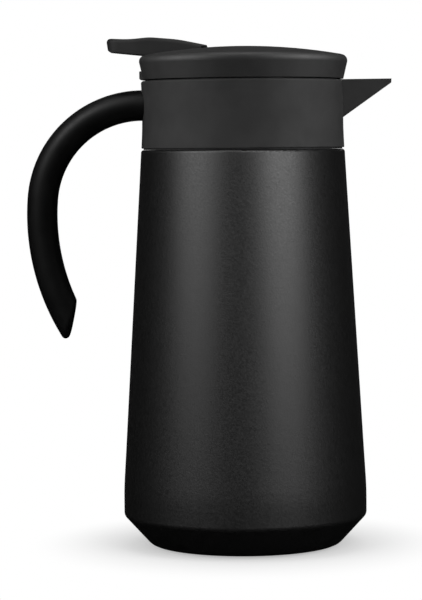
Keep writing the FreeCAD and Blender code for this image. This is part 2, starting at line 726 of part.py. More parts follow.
spout_root = collar_bore + d.spout_sink
root_keel = collar_top - d.spout_root_depth
tip_keel = collar_top - d.spout_tip_depth
beak_root = outline(collar, "beak_root", [
    corner(-d.spout_half_width, collar_top),
    corner(0, root_keel, d.spout_keel_round),
    corner(d.spout_half_width, collar_top),
], plane="YZ_Plane", shift=spout_root)
beak_tip = outline(collar, "beak_tip", [
    corner(-d.spout_tip_half_width, collar_top + d.spout_tip_rise),
    corner(0, tip_keel, d.spout_tip_round),
    corner(d.spout_tip_half_width, collar_top + d.spout_tip_rise),
], plane="YZ_Plane", shift=spout_reach)
loft("PartDesign::AdditiveLoft", "spout_beak", beak_root, beak_tip)

channel_start = collar_bore - 3 * d.overrun
channel_end = spout_reach + d.overrun
channel_half_width = d.spout_half_width - d.spout_wall + d.channel_flare
channel_tip_half_width = d.spout_tip_half_width - d.spout_tip_wall
channel_keel = ledge_top - d.channel_sink
channel_tip_keel = tip_keel + d.spout_tip_wall - d.channel_tip_sink
channel_root = beak("channel_root", channel_start, channel_half_width, channel_keel, d.spout_keel_round)
channel_tip_round = d.spout_tip_round / 2
channel_tip = beak("channel_tip", channel_end, channel_tip_half_width, channel_tip_keel, channel_tip_round)
taken = loft("PartDesign::SubtractiveLoft", "spout_channel", channel_root, channel_tip)
if taken > 0:
    raise RuntimeError("spout channel takes nothing away")

screw_height = handle_height + d.handle_screw_rise
screw_spots = [(d.handle_screw_spread, screw_height), (-d.handle_screw_spread, screw_height)]
head_seat = collar_bore + d.screw_head_sink
drill_start = collar_bore - 4 * d.overrun
shank_hole = d.screw_shank + d.fit_clearance
shank_holes = circles(collar, "shank_holes", screw_spots, shank_hole, "YZ_Plane", -drill_start)
pocket(collar, shank_holes, d.screw_length, "handle_shank_holes")
head_hole = d.screw_head + d.fit_clearance
head_holes = circles(collar, "head_holes", screw_spots, head_hole, "YZ_Plane", -drill_start)
pocket(collar, head_holes, head_seat - drill_start, "handle_head_holes")

neck_seal = new_body("neck_seal")
neck_seal_profile = outline(neck_seal, "neck_seal_profile", [
    corner(liner_neck_radius + d.seal_inset, lip_top),
    corner(neck_radius, lip_top),
    corner(neck_radius, ledge_under),
    corner(liner_neck_radius + d.seal_inset, ledge_under),
])
revolve(neck_seal, neck_seal_profile, "neck_seal_turned")


# Handle: an oval swept along two tangent bends, trimmed to the collar and cut off at its free end

handle = new_body("handle")
handle_root = collar_radius - d.handle_sink
bend_start = collar_radius - d.handle_lead
upper_centre = handle_height - d.handle_upper_arc
joint_x = -bend_start - d.handle_upper_arc * sine(d.handle_upper_turn)
joint_z = upper_centre + d.handle_upper_arc * cosine(d.handle_upper_turn)
lower_x = joint_x + d.handle_lower_arc * sine(d.handle_upper_turn)
lower_z = joint_z - d.handle_lower_arc * cosine(d.handle_upper_turn)
whole_turn = d.handle_upper_turn + d.handle_lower_turn
end_x = lower_x - d.handle_lower_arc * sine(whole_turn)
end_z = lower_z + d.handle_lower_arc * cosine(whole_turn)


def flat_point(x, y):
    return FreeCAD.Vector(size_of(x).value, size_of(y).value, 0)


handle_path = new_sketch(handle, "handle_path", "XZ_Plane")
path_root = flat_point(-handle_root, handle_height)
path_bend = flat_point(-bend_start, handle_height)
path_joint = flat_point(joint_x, joint_z)
path_end = flat_point(end_x, end_z)
lead = handle_path.addGeometry(Part.LineSegment(path_root, path_bend), False)
upper, upper_spots = add_arc(handle_path, path_bend, path_joint, flat_point(-bend_start, upper_centre), True)
lower, lower_spots = add_arc(handle_path, path_joint, path_end, flat_point(lower_x, lower_z), True)
handle_path.addConstraint(Sketcher.Constraint("Coincident", lead, 2, upper, upper_spots[0]))
handle_path.addConstraint(Sketcher.Constraint("Coincident", upper, upper_spots[1], lower, lower_spots[0]))
pin_point(handle_path, lead, 1, -handle_root, handle_height)
pin_point(handle_path, lead, 2, -bend_start, handle_height)
pin_point(handle_path, upper, 3, -bend_start, upper_centre)
pin_point(handle_path, lower, 3, lower_x, lower_z)
pin_point(handle_path, upper, upper_spots[1], joint_x, None)
pin_point(handle_path, lower, lower_spots[1], end_x, None)

half_thick = d.handle_thickness / 2
half_wide = d.handle_width / 2
crown_drop = d.handle_crown - half_thick
crown_square = half_wide * half_wide + crown_drop * crown_drop - d.handle_crown * d.handle_crown
side_round = crown_square / (2 * (half_wide - d.handle_crown))
side_centre = half_wide - side_round
centre_gap = d.handle_crown - side_round
join_y = d.handle_crown * side_centre / centre_gap
join_z = d.handle_crown * crown_drop / centre_gap - crown_drop
handle_section = outline(handle, "handle_section", [
    corner(join_y, handle_height + join_z, arc=d.handle_crown),
    corner(-join_y, handle_height + join_z, arc=side_round),
    corner(-join_y, handle_height - join_z, arc=d.handle_crown),
    corner(join_y, handle_height - join_z, arc=side_round),
], plane="YZ_Plane", shift=-handle_root)
grip = handle.newObject("PartDesign::AdditivePipe", "handle_swept")
grip.Profile = handle_section
grip.Spine = (handle_path, ["Edge1", "Edge2", "Edge3"])
doc.recompute()

seat_radius = collar_radius + d.fit_clearance
handle_seat = outline(handle, "handle_seat", [
    corner(ledge_bore, collar_bottom),
    corner(seat_radius, collar_bottom, arc=waist_arc, left=False),
    corner(seat_radius, collar_top),
    corner(ledge_bore, collar_top),
])
groove(handle, handle_seat, "handle_trimmed")

lean_x = sine(d.handle_end_lean)
lean_z = cosine(d.handle_end_lean)
cut_above = half_thick
cut_below = d.handle_thickness * 2
handle_cut = outline(handle, "handle_cut", [
    corner(-handle_end_inset + cut_above * lean_x, handle_end_height + cut_above * lean_z),
    corner(-handle_end_inset - cut_below * lean_x, handle_end_height - cut_below * lean_z),
    corner(-handle_end_inset + cut_below, handle_end_height - cut_below * lean_z),
    corner(-handle_end_inset + cut_below, handle_end_height + cut_above * lean_z),
])
pocket(handle, handle_cut, d.handle_width * 2, "handle_cut_off", symmetric=True)


def on_cut_end(edge):
    for vertex in edge.Vertexes:
        across = vertex.X + handle_end_inset.value
        along = vertex.Z - handle_end_height.value
        if abs(across * lean_z.value - along * lean_x.value) > 0.01:
            return False
    return edge.BoundBox.ZMax < handle_end_height.value + d.handle_thickness.value


fillet(handle, d.handle_end_round, on_cut_end, "handle_end_rounded")
handle_holes = circles(handle, "handle_holes", screw_spots, d.screw_shank + d.running_clearance,
                       "YZ_Plane", -collar_bore)
pocket(handle, handle_holes, d.screw_head_sink + d.screw_length + d.overrun, "handle_screw_holes")

handle_screws = new_body("handle_screws")
handle_screws.AllowCompound = True
head_discs = circles(handle_screws, "head_discs", screw_spots, d.screw_head, "YZ_Plane", -head_seat)
pad(handle_screws, head_discs, d.screw_head_height, "screw_heads")
shank_discs = circles(handle_screws, "shank_discs", screw_spots, d.screw_shank, "YZ_Plane", -head_seat)
pad(handle_screws, shank_discs, d.screw_length, "screw_shanks", reverse=True)


# Stopper: plug, threaded cup and flange in one piece, with a raised valve seat and a pouring port

stopper_body = new_body("stopper_body")
seat_outer = d.valve_hole + d.seat_lip
stopper_profile = outline(stopper_body, "stopper_profile", [
    corner(d.valve_hole, plug_bottom),
    corner(plug_radius, plug_bottom, d.plug_wall / 2),
    corner(plug_radius, gasket_top),
    corner(cup_radius, gasket_top),
    corner(cup_radius, lid_foot),
    corner(flange_radius, lid_foot),
    corner(flange_radius, flange_top),
    corner(cup_bore, flange_top),
    corner(cup_bore, cup_floor),
    corner(plug_bore, cup_floor),
    corner(plug_bore, plug_floor, d.plug_wall / 2),
    corner(seat_outer, plug_floor),
    corner(seat_outer, seat_top),
    corner(d.valve_hole, seat_top),
])
revolve(stopper_body, stopper_profile, "stopper_turned")

tab_edge = root(tab_radius * tab_radius - tab_half_width * tab_half_width)
tab_root = flange_radius - d.flange_thickness
tab_plan = outline(stopper_body, "tab_plan", [
    corner(-tab_root, tab_half_width),
    corner(-tab_edge, tab_half_width, arc=tab_radius),
    corner(-tab_edge, -tab_half_width),
    corner(-tab_root, -tab_half_width),
], plane="XY_Plane", shift=lid_foot)
pad(stopper_body, tab_plan, d.tab_height, "rear_tab")


def on_tab_foot(edge):
    box = edge.BoundBox
    level = box.ZLength < 0.01 and abs(box.ZMin - lid_foot.value) < 0.01
    return level and box.XMax < -flange_radius.value and box.YLength > tab_half_width.value


fillet(stopper_body, d.tab_round, on_tab_foot, "tab_foot_rounded")
port_bottom = cup_floor + d.port_sill
port_plan = outline(stopper_body, "port_plan", [
    corner(-d.port_half_width, port_bottom, d.port_round),
    corner(d.port_half_width, port_bottom, d.port_round),
    corner(d.port_half_width, port_bottom + d.port_height, d.port_round),
    corner(-d.port_half_width, port_bottom + d.port_height, d.port_round),
], plane="YZ_Plane", shift=plug_bore - 2 * d.plug_wall)
pocket(stopper_body, port_plan, d.plug_wall * 8, "pouring_port", reverse=True)

screw_step = boss_circle * math.sqrt(0.5)
screw_spot = [(screw_step, screw_step)]
boss_foot = cup_floor - d.boss_sink
boss_disc = circles(stopper_body, "boss_disc", screw_spot, d.boss_radius, shift=boss_foot)
boss = pad(stopper_body, boss_disc, deck_under - boss_foot, "screw_boss")
around(stopper_body, [boss], LID_SCREWS, "screw_bosses")
boss_bore = d.lid_screw_shank + d.running_clearance
boss_hole = circles(stopper_body, "boss_hole", screw_spot, boss_bore, shift=deck_under)
hole = pocket(stopper_body, boss_hole, d.lid_screw_length - d.deck_thickness + d.boss_sink, "boss_hole_cut")
around(stopper_body, [hole], LID_SCREWS, "boss_holes")

stopper_gasket = new_body("stopper_gasket")
gasket_inner = plug_radius + 3 * d.fit_clearance
gasket_outer = gasket_inner + d.gasket_width
gasket_under = ledge_top + d.fit_clearance / 2
gasket_face = gasket_top - d.running_clearance
gasket_profile = outline(stopper_gasket, "gasket_profile", [
    corner(gasket_inner + d.gasket_chamfer, gasket_under),
    corner(gasket_outer, gasket_under, d.gasket_round),
    corner(gasket_outer, gasket_face, d.gasket_round),
    corner(gasket_inner, gasket_face),
    corner(gasket_inner, gasket_under + d.gasket_chamfer),
])
revolve(stopper_gasket, gasket_profile, "gasket_turned")


# Deck: closes the stopper, guides the stem and carries the two lever posts

deck = new_body("deck")
deck_radius = cup_bore - 3 * d.fit_clearance
deck_mid = deck_under + d.deck_thickness / 2
seal_root = cup_bore - d.deck_seal_depth - d.fit_clearance
guide_bore = d.stem_radius + d.running_clearance
guide_top = deck_top + d.guide_rise
deck_profile = outline(deck, "deck_profile", [
    corner(guide_bore, deck_under - d.guide_drop),
    corner(guide_radius, deck_under - d.guide_drop),
    corner(guide_radius, deck_under),
    corner(deck_radius, deck_under),
    corner(deck_radius, deck_mid - d.deck_seal_height / 2),
    corner(seal_root, deck_mid - d.deck_seal_height / 2),
    corner(seal_root, deck_mid + d.deck_seal_height / 2),
    corner(deck_radius, deck_mid + d.deck_seal_height / 2),
    corner(deck_radius, deck_top),
    corner(guide_radius, deck_top),
    corner(guide_radius, guide_top),
    corner(stem_seal_radius, guide_top),
    corner(stem_seal_radius, deck_top),
    corner(guide_bore, deck_top),
])
revolve(deck, deck_profile, "deck_turned")
post_back = root(deck_radius * deck_radius - post_outer * post_outer)
post_profile = outline(deck, "post_profile", [
    corner(-post_back, deck_top - d.post_sink),
    corner(-pin_inset - d.post_round, pin_height + d.post_round, d.post_top_round),
    corner(-pin_inset + d.post_round, pin_height + d.post_round, d.post_top_round),
    corner(-pin_inset + d.post_round + d.post_flare, deck_top - d.post_sink),
])
pad(deck, post_profile, 2 * post_outer, "post_block", symmetric=True)
between = outline(deck, "between_posts", [
    corner(-pin_inset - 2 * d.post_round, deck_top),
    corner(-pin_inset + 2 * d.post_round, deck_top),
    corner(-pin_inset + 2 * d.post_round, pin_height + 2 * d.post_round),
    corner(-pin_inset - 2 * d.post_round, pin_height + 2 * d.post_round),
])
pocket(deck, between, 2 * post_inner, "post_space", symmetric=True)
post_bore = d.pin_radius + d.running_clearance / 2
post_holes = circles(deck, "post_holes", [(-pin_inset, pin_height)], post_bore, "XZ_Plane")
pocket(deck, post_holes, 4 * post_outer, "post_pin_holes", symmetric=True)
deck_bore = d.lid_screw_shank + d.fit_clearance
deck_hole = circles(deck, "deck_hole", screw_spot, deck_bore, shift=deck_top + d.overrun)
through = pocket(deck, deck_hole, d.deck_thickness + 2 * d.overrun, "deck_hole_cut")
around(deck, [through], LID_SCREWS, "deck_holes")

deck_seal = new_body("deck_seal")
half_seal = d.deck_seal_height / 2 - d.running_clearance
deck_seal_inner = seal_root + d.running_clearance
deck_seal_outer = cup_bore - d.running_clearance
deck_seal_profile = outline(deck_seal, "deck_seal_profile", [
    corner(deck_seal_inner, deck_mid - half_seal),
    corner(deck_seal_outer, deck_mid - half_seal, d.deck_seal_round),
    corner(deck_seal_outer, deck_mid + half_seal, d.deck_seal_round),
    corner(deck_seal_inner, deck_mid + half_seal),
])
revolve(deck_seal, deck_seal_profile, "deck_seal_turned")

lid_screws = new_body("lid_screws")
lid_screws.AllowCompound = True
lid_head = circles(lid_screws, "lid_head", screw_spot, d.lid_screw_head, shift=deck_top)
lid_heads = pad(lid_screws, lid_head, d.lid_screw_head_height, "lid_screw_head_raised")
lid_shank = circles(lid_screws, "lid_shank", screw_spot, d.lid_screw_shank, shift=deck_top)
lid_shanks = pad(lid_screws, lid_shank, d.lid_screw_length, "lid_screw_shank_raised", reverse=True)
around(lid_screws, [lid_heads, lid_shanks], LID_SCREWS, "lid_screw_set")


# Valve: disc, seal, screw, stem and cap, closed by a spring under the deck

stem_seal = new_body("stem_seal")
stem_seal_profile = outline(stem_seal, "stem_seal_profile", [
    corner(d.stem_radius + d.running_clearance, deck_top),
    corner(stem_seal_radius - d.running_clearance, deck_top),
    corner(stem_seal_radius - d.running_clearance, guide_top),
    corner(d.stem_radius + d.running_clearance, guide_top, d.stem_seal_round),
])
revolve(stem_seal, stem_seal_profile, "stem_seal_turned")

valve_stem = new_body("valve_stem")
screw_bore = d.valve_screw_shank + d.running_clearance
screw_end = disc_bottom + d.valve_screw_length + d.overrun
stem_profile = outline(valve_stem, "stem_profile", [
    corner(screw_bore, disc_top),
    corner(stem_flange_radius, disc_top),
    corner(stem_flange_radius, disc_top + d.stem_flange_height),
    corner(d.stem_radius, disc_top + d.stem_flange_height),
    corner(d.stem_radius, stem_top),
    corner(spigot_radius, stem_top),
    corner(spigot_radius, stem_top + d.spigot_length),
    corner(0, stem_top + d.spigot_length),
    corner(0, screw_end),
    corner(screw_bore, screw_end),
])
revolve(valve_stem, stem_profile, "stem_turned")

stem_cap = new_body("stem_cap")
cap_bore = spigot_radius + d.running_clearance
cap_profile = outline(stem_cap, "cap_profile", [
    corner(cap_bore, stem_top),
    corner(cap_radius, stem_top),
    corner(cap_radius, stem_top + d.cap_height, d.cap_round),
    corner(0, stem_top + d.cap_height),
    corner(0, stem_top + d.spigot_length + d.running_clearance),
    corner(cap_bore, stem_top + d.spigot_length + d.running_clearance),
])
revolve(stem_cap, cap_profile, "cap_turned")

valve_disc = new_body("valve_disc")
disc_profile = outline(valve_disc, "disc_profile", [
    corner(d.valve_screw_shank + d.fit_clearance, disc_bottom),
    corner(disc_radius, disc_bottom),
    corner(disc_radius, disc_top, d.disc_round),
    corner(d.valve_screw_shank + d.fit_clearance, disc_top),
])
revolve(valve_disc, disc_profile, "disc_turned")

valve_seal = new_body("valve_seal")
valve_seal_profile = outline(valve_seal, "valve_seal_profile", [
    corner(valve_seal_inner, seal_bottom),
    corner(disc_radius + d.valve_seal_overhang, seal_bottom, d.valve_seal_round),
    corner(disc_radius + d.valve_seal_overhang, disc_bottom),
    corner(valve_seal_inner, disc_bottom),
])
revolve(valve_seal, valve_seal_profile, "valve_seal_turned")

valve_screw = new_body("valve_screw")
valve_screw_profile = outline(valve_screw, "valve_screw_profile", [
    corner(0, disc_bottom - d.valve_screw_head_height),
    corner(d.valve_screw_head, disc_bottom - d.valve_screw_head_height, d.valve_screw_round),
    corner(d.valve_screw_head, disc_bottom),
    corner(d.valve_screw_shank, disc_bottom),
    corner(d.valve_screw_shank, disc_bottom + d.valve_screw_length),
    corner(0, disc_bottom + d.valve_screw_length),
])
revolve(valve_screw, valve_screw_profile, "valve_screw_turned")

valve_spring = new_body("valve_spring")
wire_start = disc_top + d.spring_wire + d.running_clearance
wire_end = deck_under - d.spring_wire - d.running_clearance
wire_spot = [(spring_radius, wire_start)]
wire_section = circles(valve_spring, "wire_section", wire_spot, d.spring_wire, "XZ_Plane")
coil = valve_spring.newObject("PartDesign::AdditiveHelix", "spring_coil")
coil.Profile = wire_section
coil.ReferenceAxis = (wire_section, ["V_Axis"])
coil.Mode = "height-turns-angle"
coil.setExpression("Height", (wire_end - wire_start).text)
coil.setExpression("Turns", d.spring_turns.text)
coil.Angle = 0
doc.recompute()


# Lid cover: a thin dome with a tapered skirt, slotted for the lever from the middle out through the rear

lid_cover = new_body("lid_cover")
dome_arc = dome_radius(lid_radius, d.dome_rise)
inner_reach = lid_radius - d.lid_corner_wall
inner_rise = d.dome_rise * inner_reach * inner_reach / (lid_radius * lid_radius)
inner_arc = dome_radius(inner_reach, inner_rise)
inner_apex = dome_top - d.lid_wall
lid_profile = outline(lid_cover, "lid_profile", [
    corner(0, dome_top, arc=dome_arc, left=False),
    corner(lid_radius, lid_corner_height, d.lid_edge_round),
    corner(lid_skirt_radius, lid_foot),
    corner(lid_skirt_radius - d.lid_wall, lid_foot),
    corner(inner_reach, inner_apex - inner_rise, arc=inner_arc),
    corner(0, inner_apex),
])
revolve(lid_cover, lid_profile, "lid_turned")
slot_rear = lid_radius + 5 * d.overrun
slot_plan = outline(lid_cover, "slot_plan", [
    corner(-slot_rear, -slot_half_width),
    corner(-d.slot_front, -slot_half_width, d.slot_round),
    corner(-d.slot_front, slot_half_width, d.slot_round),
    corner(-slot_rear, slot_half_width),
], plane="XY_Plane", shift=lid_foot - d.overrun)
pocket(lid_cover, slot_plan, dome_top - lid_foot + 2 * d.overrun, "lever_slot", reverse=True)


# Thumb lever: hollow blade with a thumb dip, a hub on the pin and a fork under the stem cap

thumb_lever = new_body("thumb_lever")
lever_half = d.lever_half_width
front_drop = d.lever_front * d.lever_front / (2 * dome_arc)
front_under = dome_top - front_drop + d.lever_front_gap
front_top = dome_top - front_drop + d.lever_front_step
skirt_front = d.slot_front + d.lever_gap
hump_inset = lever_rear - d.lever_hump_inset
lever_under = lid_corner_height + d.lever_under_rise
blade_profile = outline(thumb_lever, "blade_profile", [
    corner(-lever_rear + d.lever_rear_lean, lever_top - d.lever_rear_depth, d.lever_rear_round),
    corner(-lever_rear, lever_top),
    corner(-lever_rear + d.lever_dip_inset, lever_top - d.lever_dip, d.lever_soft_bend),
    corner(-hump_inset, lever_top + d.lever_hump, d.lever_hump_bend),
    corner(-(hump_inset + d.lever_front) / 2, lever_top - d.lever_brow_drop, d.lever_soft_bend),
    corner(-d.lever_front, front_top),
    corner(-d.lever_front, front_under),
    corner(-skirt_front, front_under),
    corner(-skirt_front, lever_under + d.lever_skirt_rise),
    corner(-pin_inset - d.lever_belly_inset, lever_under - d.lever_belly_drop),
    corner(-lid_radius + d.lever_heel_inset, lever_under),
])
pad(thumb_lever, blade_profile, 2 * lever_half, "blade", symmetric=True)

corner_start = -lever_rear + d.lever_corner
for side, name in ((1, "near"), (-1, "far")):
    spandrel = outline(thumb_lever, "rear_corner_" + name, [
        corner(-lever_rear - d.overrun, side * (lever_half + d.overrun)),
        corner(corner_start, side * (lever_half + d.overrun)),
        corner(corner_start, side * lever_half, arc=d.lever_corner, left=side > 0),
        corner(-lever_rear, side * (lever_half - d.lever_corner)),
        corner(-lever_rear - d.overrun, side * (lever_half - d.lever_corner)),
    ], plane="XY_Plane", shift=lever_under - 2 * d.overrun)
    corner_depth = d.lever_rear_depth + 8 * d.overrun
    pocket(thumb_lever, spandrel, corner_depth, "rear_corner_cut_" + name, reverse=True)

hollow_half = lever_half - d.lever_wall
hollow_roof = lever_top - d.lever_dip - d.lever_wall
hollow_profile = outline(thumb_lever, "hollow_profile", [
    corner(-lid_radius + d.hollow_inset, lever_under - 5 * d.overrun),
    corner(-lid_radius + d.hollow_inset, hollow_roof),
    corner(-pin_inset + d.hollow_brow, hollow_roof),
    corner(-skirt_front - d.lever_wall, front_under - d.lever_wall),
    corner(-skirt_front - d.lever_wall, lever_under - 5 * d.overrun),
])
pocket(thumb_lever, hollow_profile, 2 * hollow_half, "blade_hollow", symmetric=True)
arm_top = stem_top - d.arm_play
arm_under = arm_top - d.arm_thickness
hub_half = d.pin_radius + d.hub_wall
hub_profile = outline(thumb_lever, "hub_profile", [
    corner(-pin_inset - hub_half, hollow_roof + d.hub_sink),
    corner(-pin_inset - hub_half, pin_height - hub_half, d.hub_round),
    corner(-pin_inset + d.hub_keel_inset, pin_height - hub_half - d.hub_keel_drop, d.hub_round),
    corner(-pin_inset + d.arm_start, arm_under, d.arm_bend),
    corner(d.arm_tip, arm_under),
    corner(d.arm_tip, arm_top),
    corner(-pin_inset + d.arm_start + d.arm_neck, arm_top + d.arm_slope, d.hub_round),
    corner(-pin_inset + hub_half, pin_height + d.hub_brow, d.hub_round),
    corner(-pin_inset + hub_half, hollow_roof + d.hub_sink),
])
pad(thumb_lever, hub_profile, 2 * hub_half_width, "hub_and_arm", symmetric=True)
fork_half = d.stem_radius + d.fork_clearance
fork_rear = fork_half + d.fork_back
fork_mouth = d.arm_tip + 2 * d.overrun
fork_plan = outline(thumb_lever, "fork_plan", [
    corner(-fork_rear, -fork_half, d.fork_round),
    corner(fork_mouth, -fork_half),
    corner(fork_mouth, fork_half),
    corner(-fork_rear, fork_half, d.fork_round),
], plane="XY_Plane", shift=arm_under - 2 * d.overrun)
pocket(thumb_lever, fork_plan, d.arm_thickness + 4 * d.overrun, "fork_slot", reverse=True)
lever_bore = d.pin_radius + d.running_clearance
lever_hole = circles(thumb_lever, "lever_hole", [(-pin_inset, pin_height)], lever_bore, "XZ_Plane")
pocket(thumb_lever, lever_hole, 2 * hub_half_width + 2 * d.overrun, "lever_pin_hole", symmetric=True)


def on_top_rim(edge):
    middle = edge.valueAt((edge.FirstParameter + edge.LastParameter) / 2)
    box = edge.BoundBox
    high = box.ZMin > dome_top.value - 0.1 and box.ZLength < d.lever_rear_depth.value / 2
    rear = abs(middle.x + lever_rear.value) < 0.05 and box.XLength < 0.01
    bend = middle.x < corner_start.value and abs(middle.y) > lever_half.value - d.lever_corner.value * 0.5
    side = abs(abs(middle.y) - lever_half.value) < 0.01
    return high and (rear or bend or side) and not (box.YLength < 0.01 and box.XLength < 0.1)


fillet(thumb_lever, d.lever_edge_round, on_top_rim, "blade_top_rim")

lever_pin = new_body("lever_pin")
pin_disc = circles(lever_pin, "pin_disc", [(0, 0)], d.pin_radius, "XZ_Plane")
pad(lever_pin, pin_disc, 2 * post_outer - 2 * d.fit_clearance, "pin_raised", symmetric=True)
lever_pin.setExpression("Placement.Base.x", (-pin_inset).text)
lever_pin.setExpression("Placement.Base.z", pin_height.text)


# Every piece is checked, then written under its own name

doc.recompute()
pieces = [item for item in doc.Objects if item.TypeId == "PartDesign::Body"]
for item in doc.Objects:
    if "Invalid" in item.State or "Error" in item.State:
        raise RuntimeError(item.Label + " did not build")
os.makedirs("parts", exist_ok=True)
for piece in pieces:
    if piece.Shape.isNull() or not piece.Shape.isValid():
        raise RuntimeError(piece.Label + " has no valid solid")
    piece.Shape.exportStep("parts/" + piece.Label + ".step")
    print(piece.Label, len(piece.Shape.Solids), round(piece.Shape.Volume, 1))
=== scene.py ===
import math

import bpy
from mathutils import Matrix, Vector


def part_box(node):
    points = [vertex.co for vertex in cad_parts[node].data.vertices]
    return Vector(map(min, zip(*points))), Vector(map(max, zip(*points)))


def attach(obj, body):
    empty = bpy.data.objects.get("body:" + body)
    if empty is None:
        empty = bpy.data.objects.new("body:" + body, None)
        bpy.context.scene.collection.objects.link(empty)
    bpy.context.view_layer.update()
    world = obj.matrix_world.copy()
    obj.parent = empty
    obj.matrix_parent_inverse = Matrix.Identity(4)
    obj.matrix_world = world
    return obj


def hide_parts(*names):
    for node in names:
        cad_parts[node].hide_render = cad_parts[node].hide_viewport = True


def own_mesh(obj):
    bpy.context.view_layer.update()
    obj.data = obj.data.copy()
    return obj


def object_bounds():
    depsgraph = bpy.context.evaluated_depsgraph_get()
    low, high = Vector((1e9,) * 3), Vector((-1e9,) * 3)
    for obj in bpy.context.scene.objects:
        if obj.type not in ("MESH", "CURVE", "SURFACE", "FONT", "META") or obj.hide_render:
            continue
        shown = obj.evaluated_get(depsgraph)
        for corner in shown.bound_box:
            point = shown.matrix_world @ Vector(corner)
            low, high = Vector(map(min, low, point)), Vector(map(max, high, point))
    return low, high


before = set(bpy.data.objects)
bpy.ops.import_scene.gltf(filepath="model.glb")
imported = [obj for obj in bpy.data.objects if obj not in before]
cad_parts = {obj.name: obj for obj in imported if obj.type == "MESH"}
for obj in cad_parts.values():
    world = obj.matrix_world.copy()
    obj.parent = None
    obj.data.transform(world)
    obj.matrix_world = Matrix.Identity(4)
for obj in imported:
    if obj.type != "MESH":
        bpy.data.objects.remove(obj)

cad_low, cad_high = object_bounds()

MM = 0.001

# Camera for a picture of 422 by 600 pixels, whose long side sets the lens: metres and radians

PHOTO_HEIGHT_PX = 600
FOCAL_PX = 2502.9
SENSOR_MM = 36.0
EYE_DISTANCE = 1.182
EYE_HEIGHT = 0.1895
EYE_PITCH = 0.06212
EYE_YAW = -0.01319
EYE_ROLL = -0.00804

# Floor, and the dark wall and card that only reflections show

FLOOR_SIZE = 12.0
FLOOR_DROP = 0.0002
FLOOR_GREY = 0.9
FADE_START = 0.040
FADE_END = 0.105
SHADOW_EASE = 0.45
WALL_RADIUS = 0.95
WALL_HEIGHT = 3.0
WALL_SIDES = 96
CARD_RADIUS = 1.40
CARD_LIFT = 0.0004
CARD_SIDES = 64
CARD_GREY = 0.001

# Lamps: sizes and places in metres, angles in degrees from the front, levels as the brightness of a face

AMBIENT_LEVEL = 0.30
SIDE_BOX_SIZE = (0.66, 0.75)
SIDE_BOX_DISTANCE = 0.74
SIDE_BOX_CENTRE = 0.54
FRONT_ANGLES = (-52.0, 43.0)
FRONT_LEVELS = (1.86, 2.70)
NECK_ANGLES = (-70.0, 70.0)
NECK_LEVELS = (2.45, 3.10)
HANDLE_BOX_SIZE = (0.45, 0.45)
HANDLE_BOX_SPOT = (-0.58, -0.44, 0.76)
HANDLE_BOX_LEVEL = 5.2
REAR_BOX_SIZE = (0.90, 0.45)
REAR_BOX_SPOT = (0, 0.66, 0.80)
REAR_BOX_LEVEL = 4.2
TOP_BOX_SIZE = (0.80, 0.80)
TOP_BOX_SPOT = (0, 0, 1.15)
TOP_BOX_LEVEL = 0.60

# The handle and the neck have lamps of their own, and some tops are shaded from the lamp behind

HANDLE_NODES = ("handle",)
NECK_NODES = ("collar", "lid_cover")
SHADED_BEHIND = ("lid_cover", "thumb_lever", "handle")


def place_camera():
    data = bpy.data.cameras.new("photo_camera")
    data.sensor_width = SENSOR_MM
    data.lens = FOCAL_PX * SENSOR_MM / PHOTO_HEIGHT_PX
    camera = bpy.data.objects.new("photo_camera", data)
    bpy.context.scene.collection.objects.link(camera)
    turn = Matrix.Rotation(-EYE_YAW, 4, "Z")
    tilt = Matrix.Rotation(math.pi / 2 - EYE_PITCH, 4, "X")
    roll = Matrix.Rotation(EYE_ROLL, 4, "Z")
    camera.matrix_world = Matrix.Translation((0, -EYE_DISTANCE, EYE_HEIGHT)) @ turn @ tilt @ roll
    bpy.context.scene.camera = camera


def grey(level):
    return (level, level, level)


def seen_directly(tree):
    """One for rays that show the background: seen straight, mirrored or through glass."""
    path = tree.nodes.new("ShaderNodeLightPath")
    either = tree.nodes.new("ShaderNodeMath")
    either.operation = "MAXIMUM"
    tree.links.new(path.outputs["Is Camera Ray"], either.inputs[0])
    tree.links.new(path.outputs["Is Glossy Ray"], either.inputs[1])
    every = tree.nodes.new("ShaderNodeMath")
    every.operation = "MAXIMUM"
    tree.links.new(either.outputs[0], every.inputs[0])
    tree.links.new(path.outputs["Is Transmission Ray"], every.inputs[1])
    return every.outputs[0]


def white_world():
    """White where it is seen, and a soft ambient light on the jug."""
    world = bpy.data.worlds.new("white_studio")
    bpy.context.scene.world = world
    world.use_nodes = True
    tree = world.node_tree
    level = tree.nodes.new("ShaderNodeMapRange")
    level.inputs["To Min"].default_value = AMBIENT_LEVEL
    level.inputs["To Max"].default_value = 1.0
    tree.links.new(seen_directly(tree), level.inputs["Value"])
    background = tree.nodes["Background"]
    background.inputs["Color"].default_value = (1, 1, 1, 1)
    tree.links.new(level.outputs["Result"], background.inputs["Strength"])


def fade_to_white(tree):
    """The share of plain white, which grows with the distance from the jug's axis."""
    place = tree.nodes.new("ShaderNodeTexCoord")
    reach = tree.nodes.new("ShaderNodeVectorMath")
    reach.operation = "LENGTH"
    tree.links.new(place.outputs["Object"], reach.inputs[0])
    fade = tree.nodes.new("ShaderNodeMapRange")
    fade.interpolation_type = "SMOOTHSTEP"
    fade.inputs["From Min"].default_value = FADE_START
    fade.inputs["From Max"].default_value = FADE_END
    fade.inputs["To Min"].default_value = SHADOW_EASE
    tree.links.new(reach.outputs["Value"], fade.inputs["Value"])
    share = tree.nodes.new("ShaderNodeMath")
    share.operation = "MULTIPLY"
    tree.links.new(fade.outputs["Result"], share.inputs[0])
    tree.links.new(seen_directly(tree), share.inputs[1])
    return share.outputs[0]


